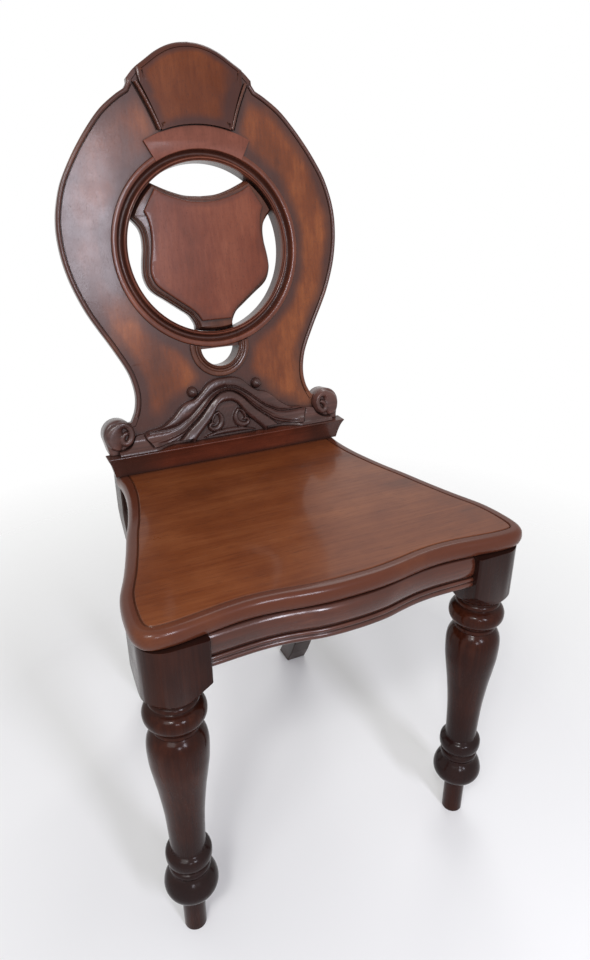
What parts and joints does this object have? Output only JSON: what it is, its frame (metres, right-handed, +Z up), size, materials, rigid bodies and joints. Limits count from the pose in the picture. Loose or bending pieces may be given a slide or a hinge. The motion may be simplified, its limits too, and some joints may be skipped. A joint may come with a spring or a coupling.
{
  "type": "hall chair",
  "caption": "Wooden hall chair with a balloon back pierced by a ring and shield, carved volutes over a plinth, a solid shaped seat, turned front legs and swept square rear legs.",
  "frame": {"origin": "on the floor, in the middle of the chair's box in plan", "axes": "+Z up; +Y from the front legs towards the back; +X to the right as seen by someone who faces the chair's front"},
  "size_m": [0.437, 0.449, 0.9215],
  "materials": {
    "polished_mahogany": "french polished",
    "warm_mahogany": "french polished, rubbed through to a lighter tone",
    "dark_mahogany": "dark old polish",
    "bare_wood": "unpolished",
    "screw_steel": "dull"
  },
  "bodies": {
    "root": {"seat_board": "polished_mahogany", "front_rail": "polished_mahogany", "side_rail_left": "dark_mahogany", "side_rail_right": "dark_mahogany", "back_rail": "dark_mahogany", "front_leg_left": "polished_mahogany", "front_leg_right": "polished_mahogany", "rear_leg_left": "dark_mahogany", "rear_leg_right": "dark_mahogany", "glue_block_front_left": "bare_wood", "glue_block_front_right": "bare_wood", "glue_block_rear_left": "bare_wood", "glue_block_rear_right": "bare_wood", "seat_screw_front_left": "screw_steel", "seat_screw_front_right": "screw_steel", "seat_screw_rear_left": "screw_steel", "seat_screw_rear_right": "screw_steel", "back_board": "warm_mahogany", "ring_moulding": "polished_mahogany", "half_ring_moulding": "polished_mahogany", "shield_web": "polished_mahogany", "shield_face": "warm_mahogany", "crest_keystone": "warm_mahogany", "crest_arc": "warm_mahogany", "crest_bead_left": "polished_mahogany", "crest_bead_right": "polished_mahogany", "carved_band": "dark_mahogany", "scroll_moulding": "dark_mahogany", "carved_boss": "dark_mahogany", "carved_ball_left": "dark_mahogany", "carved_ball_right": "dark_mahogany", "carved_leaf_scroll_left": "dark_mahogany", "carved_leaf_scroll_right": "dark_mahogany", "volute_left": "dark_mahogany", "volute_right": "dark_mahogany", "plinth": "dark_mahogany", "back_dowel_left": "bare_wood", "back_dowel_centre": "bare_wood", "back_dowel_right": "bare_wood"}
  },
  "joints": []
}
